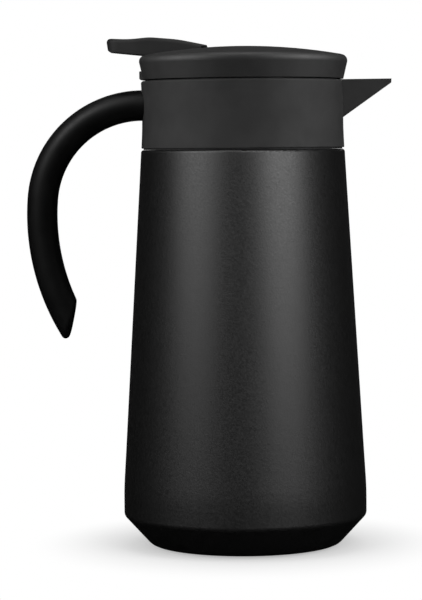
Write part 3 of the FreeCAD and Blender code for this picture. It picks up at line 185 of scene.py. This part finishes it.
def floor_finish():
    """Matt near the jug, where its shadow lies, and plain white further out."""
    material = bpy.data.materials.new("white_floor")
    material.use_nodes = True
    tree = material.node_tree
    tree.nodes.clear()
    matt = tree.nodes.new("ShaderNodeBsdfDiffuse")
    matt.inputs["Color"].default_value = (*grey(FLOOR_GREY), 1)
    white = tree.nodes.new("ShaderNodeEmission")
    white.inputs["Strength"].default_value = 1.0
    blend = tree.nodes.new("ShaderNodeMixShader")
    tree.links.new(fade_to_white(tree), blend.inputs["Fac"])
    tree.links.new(matt.outputs[0], blend.inputs[1])
    tree.links.new(white.outputs[0], blend.inputs[2])
    out = tree.nodes.new("ShaderNodeOutputMaterial")
    tree.links.new(blend.outputs[0], out.inputs["Surface"])
    return material


def white_floor():
    bpy.ops.object.select_all(action="DESELECT")
    bpy.ops.mesh.primitive_plane_add(size=FLOOR_SIZE, location=(0, 0, -FLOOR_DROP))
    floor = bpy.context.active_object
    floor.name = "studio_floor"
    floor.data.materials.append(floor_finish())


def dark_card_finish():
    material = bpy.data.materials.new("dark_card")
    material.use_nodes = True
    shader = material.node_tree.nodes["Principled BSDF"]
    shader.inputs["Base Color"].default_value = (*grey(CARD_GREY), 1)
    shader.inputs["Roughness"].default_value = 1.0
    shader.inputs["Specular IOR Level"].default_value = 0.0
    return material


def only_in_reflections(card, finish):
    card.data.materials.append(finish)
    card.visible_camera = False
    card.visible_diffuse = False
    card.visible_shadow = False
    card.visible_transmission = False


def dark_wall(finish):
    """A dark round wall about the jug, open at the top, that only mirrored rays meet."""
    bpy.ops.object.select_all(action="DESELECT")
    bpy.ops.mesh.primitive_cylinder_add(vertices=WALL_SIDES, radius=WALL_RADIUS, depth=WALL_HEIGHT,
                                        end_fill_type="NOTHING", location=(0, 0, WALL_HEIGHT / 2))
    wall = bpy.context.active_object
    wall.name = "dark_wall"
    only_in_reflections(wall, finish)


def floor_card(finish):
    """A dark round card just above the floor, that only mirrored rays meet."""
    bpy.ops.object.select_all(action="DESELECT")
    bpy.ops.mesh.primitive_circle_add(vertices=CARD_SIDES, radius=CARD_RADIUS, fill_type="NGON",
                                      location=(0, 0, CARD_LIFT))
    card = bpy.context.active_object
    card.name = "dark_floor_card"
    only_in_reflections(card, finish)


def soft_box(name, spot, size, level):
    """A rectangular lamp that faces the middle of the jug; level is the brightness of its face."""
    width, height = size
    data = bpy.data.lights.new(name, "AREA")
    data.shape = "RECTANGLE"
    data.size = width
    data.size_y = height
    data.energy = level * math.pi * width * height
    lamp = bpy.data.objects.new(name, data)
    bpy.context.scene.collection.objects.link(lamp)
    aim = Vector((0, 0, (cad_low.z + cad_high.z) / 2)) - Vector(spot)
    lamp.matrix_world = Matrix.Translation(spot) @ aim.to_track_quat("-Z", "Y").to_matrix().to_4x4()
    lamp.visible_camera = False
    return lamp


def side_spot(angle_deg):
    angle = math.radians(angle_deg)
    return (SIDE_BOX_DISTANCE * math.sin(angle), -SIDE_BOX_DISTANCE * math.cos(angle), SIDE_BOX_CENTRE)


def pair_of_boxes(name, angles, levels):
    """A soft box on the left and one on the right, at the same distance and height."""
    left = soft_box("left_" + name, side_spot(angles[0]), SIDE_BOX_SIZE, levels[0])
    right = soft_box("right_" + name, side_spot(angles[1]), SIDE_BOX_SIZE, levels[1])
    return (left, right)


def shine_only_on(lamp, names):
    """Keeps a lamp's light on the named nodes, as barn doors round it would."""
    lit = bpy.data.collections.new(lamp.name + "_lit")
    for name in names:
        lit.objects.link(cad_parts[name])
    lamp.light_linking.receiver_collection = lit


def flag_off(lamp, names):
    """Keeps a lamp's light off the named nodes, as a flag before it would."""
    flagged = bpy.data.collections.new(lamp.name + "_flag")
    for name in names:
        flagged.objects.link(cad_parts[name])
    for entry in flagged.collection_objects:
        entry.light_linking.link_state = "EXCLUDE"
    lamp.light_linking.receiver_collection = flagged


def lamps():
    for lamp in pair_of_boxes("soft_box", FRONT_ANGLES, FRONT_LEVELS):
        flag_off(lamp, HANDLE_NODES + NECK_NODES)
    for lamp in pair_of_boxes("neck_box", NECK_ANGLES, NECK_LEVELS):
        shine_only_on(lamp, NECK_NODES)
    handle_box = soft_box("handle_soft_box", HANDLE_BOX_SPOT, HANDLE_BOX_SIZE, HANDLE_BOX_LEVEL)
    shine_only_on(handle_box, HANDLE_NODES)
    rear_box = soft_box("rear_soft_box", REAR_BOX_SPOT, REAR_BOX_SIZE, REAR_BOX_LEVEL)
    shine_only_on(rear_box, [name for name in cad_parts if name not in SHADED_BEHIND])
    soft_box("top_soft_box", TOP_BOX_SPOT, TOP_BOX_SIZE, TOP_BOX_LEVEL)


def studio():
    white_world()
    white_floor()
    dark = dark_card_finish()
    dark_wall(dark)
    floor_card(dark)
    lamps()


# Finishes: noise lies mostly within these spans, which are spread over a colour's or a gloss's whole range

COLOUR_SPAN = (0.35, 0.65)
GLOSS_SPAN = (0.3, 0.7)


class Finish:
    """A node material with one principled shader, read in the object's own coordinates."""

    def __init__(self, name, roughness, specular=0.5, metallic=0.0):
        self.material = bpy.data.materials.new(name)
        self.material.use_nodes = True
        self.tree = self.material.node_tree
        self.shader = self.tree.nodes["Principled BSDF"]
        self.shader.inputs["Roughness"].default_value = roughness
        self.shader.inputs["Specular IOR Level"].default_value = specular
        self.shader.inputs["Metallic"].default_value = metallic
        self.place = self.tree.nodes.new("ShaderNodeTexCoord").outputs["Object"]

    def noise(self, size, detail=2.0, stretch=None):
        """Cloudy noise whose patches are about size across, in metres."""
        node = self.tree.nodes.new("ShaderNodeTexNoise")
        node.inputs["Scale"].default_value = 1.0 / size
        node.inputs["Detail"].default_value = detail
        vector = self.place
        if stretch is not None:
            mapping = self.tree.nodes.new("ShaderNodeMapping")
            mapping.inputs["Scale"].default_value = stretch
            self.tree.links.new(self.place, mapping.inputs["Vector"])
            vector = mapping.outputs["Vector"]
        self.tree.links.new(vector, node.inputs["Vector"])
        return node.outputs["Fac"]

    def colour(self, pattern, dark, light):
        """Spreads two greys over the pattern."""
        ramp = self.tree.nodes.new("ShaderNodeValToRGB")
        for stop, position, level in zip(ramp.color_ramp.elements, COLOUR_SPAN, (dark, light)):
            stop.position = position
            stop.color = (*grey(level), 1)
        self.tree.links.new(pattern, ramp.inputs["Fac"])
        self.tree.links.new(ramp.outputs["Color"], self.shader.inputs["Base Color"])

    def gloss(self, pattern, smooth, rough):
        """Spreads the roughness over the pattern."""
        span = self.tree.nodes.new("ShaderNodeMapRange")
        span.inputs["From Min"].default_value = GLOSS_SPAN[0]
        span.inputs["From Max"].default_value = GLOSS_SPAN[1]
        span.inputs["To Min"].default_value = smooth
        span.inputs["To Max"].default_value = rough
        self.tree.links.new(pattern, span.inputs["Value"])
        self.tree.links.new(span.outputs["Result"], self.shader.inputs["Roughness"])

    def grain(self, pattern, depth, strength):
        """Raises the pattern as fine relief, depth in metres."""
        bump = self.tree.nodes.new("ShaderNodeBump")
        bump.inputs["Distance"].default_value = depth
        bump.inputs["Strength"].default_value = strength
        self.tree.links.new(pattern, bump.inputs["Height"])
        self.tree.links.new(bump.outputs["Normal"], self.shader.inputs["Normal"])


COAT_IOR = 2.0
SOFT_RADIUS = 2.0 * MM


def powder_coat():
    finish = Finish("black_powder_coat", roughness=0.5)
    finish.shader.inputs["IOR"].default_value = COAT_IOR
    fleck = finish.noise(size=0.9 * MM, detail=3.0)
    finish.colour(fleck, dark=0.0016, light=0.0039)
    finish.gloss(finish.noise(size=1.0 * MM, detail=3.0), smooth=0.385, rough=0.505)
    finish.grain(fleck, depth=0.075 * MM, strength=0.45)
    return finish.material


def moulded_plastic(name, dark, light, smooth, rough, specular):
    finish = Finish(name, smooth, specular)
    finish.colour(finish.noise(size=11.0 * MM, detail=4.0), dark, light)
    finish.gloss(finish.noise(size=4.0 * MM), smooth, rough)
    finish.grain(finish.noise(size=0.5 * MM), depth=0.02 * MM, strength=0.45)
    return finish.material


def drawn_steel(name, smooth, rough):
    """Bright steel with fine lines drawn out along Z."""
    finish = Finish(name, smooth, metallic=1.0)
    lines = finish.noise(size=0.9 * MM, detail=3.0, stretch=(1.0, 1.0, 0.06))
    finish.colour(lines, dark=0.50, light=0.62)
    finish.gloss(lines, smooth, rough)
    finish.grain(lines, depth=0.01 * MM, strength=0.25)
    return finish.material


def silicone(name, dark, light, softness):
    finish = Finish(name, roughness=0.45, specular=0.4)
    finish.shader.inputs["Subsurface Weight"].default_value = softness
    finish.shader.inputs["Subsurface Radius"].default_value = (SOFT_RADIUS, SOFT_RADIUS, SOFT_RADIUS)
    finish.colour(finish.noise(size=4.0 * MM), dark, light)
    finish.gloss(finish.noise(size=2.0 * MM), smooth=0.42, rough=0.52)
    finish.grain(finish.noise(size=0.6 * MM), depth=0.02 * MM, strength=0.3)
    return finish.material


def pressed_powder():
    finish = Finish("sintered_pill", roughness=0.8, specular=0.3)
    specks = finish.noise(size=0.4 * MM, detail=3.0)
    finish.colour(specks, dark=0.16, light=0.30)
    finish.grain(specks, depth=0.06 * MM, strength=0.8)
    return finish.material


FINISHES = {
    "coated_steel": powder_coat(),
    "charcoal_plastic": moulded_plastic("charcoal_plastic", dark=0.0255, light=0.0315, smooth=0.58,
                                        rough=0.66, specular=0.34),
    "black_plastic": moulded_plastic("black_handle_plastic", dark=0.0026, light=0.0042, smooth=0.50,
                                     rough=0.58, specular=0.45),
    "inner_plastic": moulded_plastic("inner_plastic", dark=0.042, light=0.050, smooth=0.42, rough=0.50,
                                     specular=0.45),
    "bare_steel": drawn_steel("drawn_steel", smooth=0.26, rough=0.40),
    "small_steel": drawn_steel("screw_steel", smooth=0.22, rough=0.34),
    "black_silicone": silicone("black_silicone", dark=0.020, light=0.028, softness=0.0),
    "clear_silicone": silicone("clear_silicone", dark=0.46, light=0.54, softness=0.25),
    "pressed_powder": pressed_powder(),
}

# The lid and its lever share the collar's slot, but get darker, differently glossy copies of its plastic

OWN_FINISHES = {
    "lid_cover": moulded_plastic("lid_plastic", dark=0.0175, light=0.0222, smooth=0.51, rough=0.57,
                                 specular=0.78),
    "thumb_lever": moulded_plastic("lever_plastic", dark=0.0135, light=0.0175, smooth=0.52, rough=0.58,
                                   specular=0.32),
}


def dress_frame():
    """Gives every carried-over node its own finish, or else that of its slot."""
    for name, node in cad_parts.items():
        slot = node.data.materials[0].name
        node.data.materials[0] = OWN_FINISHES.get(name, FINISHES[slot])


# Pieces modelled here: the valve spring, the ridged foot, screws with cross recesses and the screw threads

SMOOTH_ANGLE = math.radians(35)
WELD = 0.01 * MM
FLAT = 0.99
ROUND_SEGMENTS = 4


def begin(name, add, stretch=(1, 1, 1), **shape):
    """Starts a piece from one primitive, stretched along its own axes, with its place in its own mesh."""
    bpy.ops.object.select_all(action="DESELECT")
    add(**shape)
    piece = bpy.context.active_object
    piece.name = name
    piece.scale = stretch
    bpy.ops.object.transform_apply(location=True, rotation=True, scale=True)
    return piece


def only(piece):
    bpy.ops.object.select_all(action="DESELECT")
    piece.select_set(True)
    bpy.context.view_layer.objects.active = piece


def put(piece, turn, spot):
    """Turns the piece about the origin, then moves it, in its own mesh."""
    only(piece)
    piece.rotation_euler = turn
    piece.location = spot
    bpy.ops.object.transform_apply(location=True, rotation=True, scale=True)


def pick_faces(piece, wanted):
    """Selects the faces whose direction suits and stays in edit mode."""
    bpy.ops.object.mode_set(mode="EDIT")
    bpy.ops.mesh.select_mode(type="FACE")
    bpy.ops.mesh.select_all(action="DESELECT")
    bpy.ops.object.mode_set(mode="OBJECT")
    for face in piece.data.polygons:
        face.select = wanted(face.normal)
    bpy.ops.object.mode_set(mode="EDIT")


def faces_up(normal):
    return normal.z > FLAT


def faces_down(normal):
    return normal.z < -FLAT


def complete(piece, slot, body, *stands_for):
    """Welds and smooths the piece, then gives it its finish and its place on the frame."""
    only(piece)
    bpy.ops.object.mode_set(mode="EDIT")
    bpy.ops.mesh.select_all(action="SELECT")
    bpy.ops.mesh.remove_doubles(threshold=WELD)
    bpy.ops.mesh.normals_make_consistent(inside=False)
    bpy.ops.object.mode_set(mode="OBJECT")
    bpy.ops.object.shade_smooth_by_angle(angle=SMOOTH_ANGLE)
    piece.data.materials.clear()
    piece.data.materials.append(FINISHES[slot])
    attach(piece, body)
    if stands_for:
        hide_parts(*stands_for)


# The valve spring, whose wire is swept round the stem

SECTION_SIDES = 12
SPRING_WIRE_RADIUS = 0.6 * MM
SPRING_TURNS = 5
SPRING_STEPS = 40


def swept_ring(name, radius, foot, section, start_deg, sweep_deg, rise, rounds, steps):
    """An oval section, section = (radial, upright) half sizes, swept up round the axis and capped."""
    piece = begin(name, bpy.ops.mesh.primitive_circle_add, vertices=SECTION_SIDES, radius=1,
                  location=(radius, 0, foot), rotation=(math.pi / 2, 0, 0), stretch=(*section, 1))
    put(piece, (0, 0, math.radians(start_deg)), (0, 0, 0))
    sweep = piece.modifiers.new("sweep", "SCREW")
    sweep.axis = "Z"
    sweep.angle = math.radians(sweep_deg)
    sweep.screw_offset = rise
    sweep.iterations = rounds
    sweep.steps = steps
    sweep.render_steps = steps
    bpy.ops.object.modifier_apply(modifier="sweep")
    bpy.ops.object.mode_set(mode="EDIT")
    bpy.ops.mesh.select_all(action="SELECT")
    bpy.ops.mesh.remove_doubles(threshold=WELD)
    bpy.ops.mesh.fill_holes(sides=0)
    bpy.ops.object.mode_set(mode="OBJECT")
    return piece


def valve_spring():
    """The spring between deck and valve disc, built as a fixed coil that rides with the lid and does not
    shorten when the valve lifts.
    """
    low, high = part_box("valve_spring")
    wire = SPRING_WIRE_RADIUS
    rise = (high.z - low.z - 2 * wire) / SPRING_TURNS
    spring = swept_ring("valve_spring_wire", radius=high.x - wire, foot=low.z + wire, section=(wire, wire),
                        start_deg=0, sweep_deg=360, rise=rise, rounds=SPRING_TURNS, steps=SPRING_STEPS)
    complete(spring, "small_steel", "lid", "valve_spring")
    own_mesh(spring)


# The rubber foot

FOOT_SIDES = 128
FOOT_EDGE_ROUND = 0.6 * MM
FOOT_GROOVES = 4
LAND_WIDTH = 4.6 * MM
GROOVE_WALL = 0.4 * MM
GROOVE_FLOOR = 1.2 * MM
GROOVE_DEPTH = 0.5 * MM


def foot_pad():
    """The rubber foot, with shallow ring grooves underneath."""
    low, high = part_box("foot_pad")
    foot = begin("ridged_foot", bpy.ops.mesh.primitive_cylinder_add, vertices=FOOT_SIDES, radius=high.x,
                 depth=high.z - low.z, location=(0, 0, (low.z + high.z) / 2))
    pick_faces(foot, faces_down)
    bpy.ops.mesh.bevel(offset=FOOT_EDGE_ROUND, segments=ROUND_SEGMENTS, affect="EDGES")
    pick_faces(foot, faces_down)
    for _ in range(FOOT_GROOVES):
        bpy.ops.mesh.inset(thickness=LAND_WIDTH)
        bpy.ops.mesh.inset(thickness=GROOVE_WALL, depth=-GROOVE_DEPTH)
        bpy.ops.mesh.inset(thickness=GROOVE_FLOOR)
        bpy.ops.mesh.inset(thickness=GROOVE_WALL, depth=GROOVE_DEPTH)
    bpy.ops.object.mode_set(mode="OBJECT")
    complete(foot, "black_silicone", "vessel", "foot_pad")


# Pan-head screws: the radius of head and shank, the head's height and the length under it

HANDLE_SCREW = {"head": 2.9 * MM, "head_height": 2.0 * MM, "shank": 1.6 * MM, "length": 12.0 * MM}
VALVE_SCREW = {"head": 3.0 * MM, "head_height": 1.6 * MM, "shank": 1.4 * MM, "length": 7.0 * MM}
DECK_SCREW = {"head": 2.3 * MM, "head_height": 1.5 * MM, "shank": 1.2 * MM, "length": 7.0 * MM}
HANDLE_SCREW_OFFSET = 5.5 * MM
SCREW_SIDES = 40

# A screw's rounding, point and recess, as shares of its length, shank, head and head's height

HEAD_ROUNDING = 0.35
POINT_LENGTH = 0.1
POINT_TAPER = 0.45
RECESS_LENGTH = 1.15
RECESS_WIDTH = 0.24
RECESS_DEPTH = 1.1


def cross_screw(head, head_height, shank, length):
    """A pan-head screw along Z, in metres: seat at 0, head above it, shank below."""
    screw = begin("screw", bpy.ops.mesh.primitive_cylinder_add, vertices=SCREW_SIDES, radius=head,
                  depth=head_height, location=(0, 0, head_height / 2))
    pick_faces(screw, faces_up)
    bpy.ops.mesh.bevel(offset=head_height * HEAD_ROUNDING, segments=ROUND_SEGMENTS, affect="EDGES")
    pick_faces(screw, faces_down)
    bpy.ops.mesh.inset(thickness=head - shank)
    for share in (1 - POINT_LENGTH, POINT_LENGTH):
        bpy.ops.mesh.extrude_region_move(TRANSFORM_OT_translate={"value": (0, 0, -length * share)})
    bpy.ops.transform.resize(value=(POINT_TAPER, POINT_TAPER, 1.0))
    bpy.ops.object.mode_set(mode="OBJECT")
    recess = (head * RECESS_LENGTH, head * RECESS_WIDTH, head_height * RECESS_DEPTH)
    for turn in (0, math.pi / 2):
        cutter = begin("recess", bpy.ops.mesh.primitive_cube_add, size=1, location=(0, 0, head_height),
                       rotation=(0, 0, turn), stretch=recess)
        cut = screw.modifiers.new("recess", "BOOLEAN")
        cut.object = cutter
        cut.operation = "DIFFERENCE"
        only(screw)
        bpy.ops.object.modifier_apply(modifier="recess")
        bpy.data.objects.remove(cutter)
    return screw


def screw_set(name, sizes, turn, spots, body, node):
    """One piece of equal screws, turned alike, with a seat at each spot."""
    screws = []
    for spot in spots:
        screw = cross_screw(**sizes)
        put(screw, turn, spot)
        screws.append(screw)
    only(screws[0])
    for screw in screws:
        screw.select_set(True)
    if len(screws) > 1:
        bpy.ops.object.join()
    screws[0].name = name
    complete(screws[0], "small_steel", body, node)


def handle_screws():
    """Side by side, with their heads in the collar and their points in the handle."""
    low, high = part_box("handle_screws")
    seat = high.x - HANDLE_SCREW["head_height"]
    spots = [(seat, side * HANDLE_SCREW_OFFSET, (low.z + high.z) / 2) for side in (1, -1)]
    screw_set("handle_screw_pair", HANDLE_SCREW, (0, math.pi / 2, 0), spots, "vessel", "handle_screws")


def valve_screw():
    """Upside down, with its head under the valve disc."""
    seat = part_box("valve_screw")[0].z + VALVE_SCREW["head_height"]
    screw_set("valve_disc_screw", VALVE_SCREW, (math.pi, 0, 0), [(0, 0, seat)], "valve", "valve_screw")


def deck_screws():
    """At the four corners of a square, with their heads on the deck."""
    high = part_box("lid_screws")[1]
    seat = high.z - DECK_SCREW["head_height"]
    reach = high.x - DECK_SCREW["head"]
    spots = [(x * reach, y * reach, seat) for x in (1, -1) for y in (1, -1)]
    screw_set("deck_screws", DECK_SCREW, (0, 0, 0), spots, "lid", "lid_screws")


# Screw threads, placed from the stopper's foot and flange edge and from the collar's top

STOPPER_THREADS = (("stopper_thread_209", 19.2 * MM), ("stopper_thread_213", 23.4 * MM))
STOPPER_THREAD_INSET = 2.08 * MM
STOPPER_THREAD_SECTION = (0.34 * MM, 0.9 * MM)
STOPPER_THREAD_START = 22
STOPPER_THREAD_SWEEP = 316
STOPPER_THREAD_RISE = 3.2 * MM
STOPPER_THREAD_STEPS = 96
COLLAR_THREADS = (("collar_thread_28", 28), ("collar_thread_205", 205))
COLLAR_THREAD_INSET = 1.14 * MM
COLLAR_THREAD_DROP = 5.5 * MM
COLLAR_THREAD_SECTION = (0.34 * MM, 0.8 * MM)
COLLAR_THREAD_SWEEP = 120
COLLAR_THREAD_RISE = 1.4 * MM
COLLAR_THREAD_STEPS = 48


def threads():
    """Low thread ridges: two on the stopper, clear of its port, and two lugs in the collar bore."""
    stopper_low, stopper_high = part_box("stopper_body")
    for name, climb in STOPPER_THREADS:
        ridge = swept_ring(name, radius=stopper_high.x - STOPPER_THREAD_INSET, foot=stopper_low.z + climb,
                           section=STOPPER_THREAD_SECTION, start_deg=STOPPER_THREAD_START,
                           sweep_deg=STOPPER_THREAD_SWEEP, rise=STOPPER_THREAD_RISE, rounds=1,
                           steps=STOPPER_THREAD_STEPS)
        complete(ridge, "inner_plastic", "lid")
    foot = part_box("collar")[1].z - COLLAR_THREAD_DROP
    for name, start in COLLAR_THREADS:
        lug = swept_ring(name, radius=stopper_high.x - COLLAR_THREAD_INSET, foot=foot,
                         section=COLLAR_THREAD_SECTION, start_deg=start, sweep_deg=COLLAR_THREAD_SWEEP,
                         rise=COLLAR_THREAD_RISE, rounds=1, steps=COLLAR_THREAD_STEPS)
        complete(lug, "charcoal_plastic", "vessel")


dress_frame()
valve_spring()
foot_pad()
handle_screws()
valve_screw()
deck_screws()
threads()
studio()
place_camera()

bpy.context.scene.view_settings.view_transform = "Standard"
